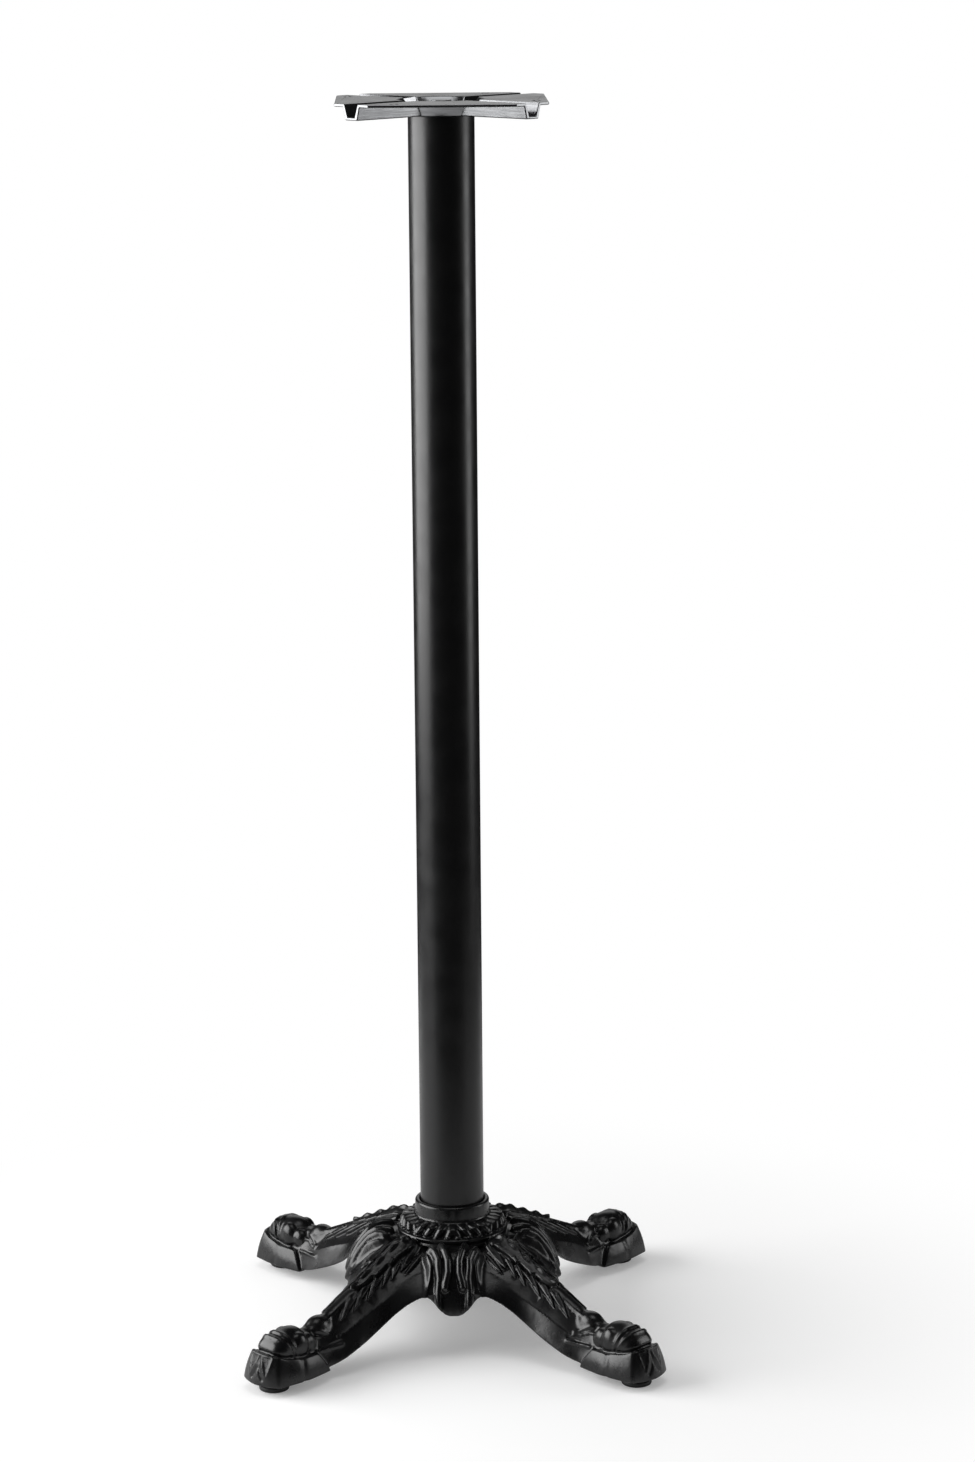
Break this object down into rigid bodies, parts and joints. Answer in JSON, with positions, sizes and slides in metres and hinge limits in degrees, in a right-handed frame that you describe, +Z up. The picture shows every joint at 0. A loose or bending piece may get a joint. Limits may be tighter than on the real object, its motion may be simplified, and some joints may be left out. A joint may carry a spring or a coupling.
{
  "type": "table base",
  "caption": "Bar-height table base: ornate cast-iron legs with paw feet and levelling glides, a round tube column and a pressed steel plate for the table top.",
  "frame": {"origin": "on the floor, on the column's axis", "axes": "+Z up the column; X and Y along the sides of the top plate, with the legs on the diagonals; the picture looks along +Y"},
  "size_m": [0.3698, 0.3698, 1.1],
  "materials": {
    "black_iron": "semi-gloss black powder coat",
    "black_tube": "satin black powder coat",
    "bare_steel": "bare pressed sheet, fine brushed grain",
    "zinc_steel": "zinc plated",
    "glide_plastic": "moulded black"
  },
  "bodies": {
    "stand": {"base_casting": "black_iron", "column_tube": "black_tube", "top_plate": "bare_steel", "tie_rod": "zinc_steel", "top_washer": "zinc_steel", "top_nut": "zinc_steel", "bottom_washer": "zinc_steel", "bottom_nut": "zinc_steel"},
    "foot_front_left": {"foot_front_left": "glide_plastic"},
    "foot_front_right": {"foot_front_right": "glide_plastic"},
    "foot_back_right": {"foot_back_right": "glide_plastic"},
    "foot_back_left": {"foot_back_left": "glide_plastic"}
  },
  "joints": [
    {"name": "foot_front_left_screw", "type": "slide", "parent": "stand", "child": "foot_front_left", "axis": [0, 0, -1], "range_m": [0, 0.012]},
    {"name": "foot_front_right_screw", "type": "slide", "parent": "stand", "child": "foot_front_right", "axis": [0, 0, -1], "range_m": [0, 0.012]},
    {"name": "foot_back_right_screw", "type": "slide", "parent": "stand", "child": "foot_back_right", "axis": [0, 0, -1], "range_m": [0, 0.012]},
    {"name": "foot_back_left_screw", "type": "slide", "parent": "stand", "child": "foot_back_left", "axis": [0, 0, -1], "range_m": [0, 0.012]}
  ]
}
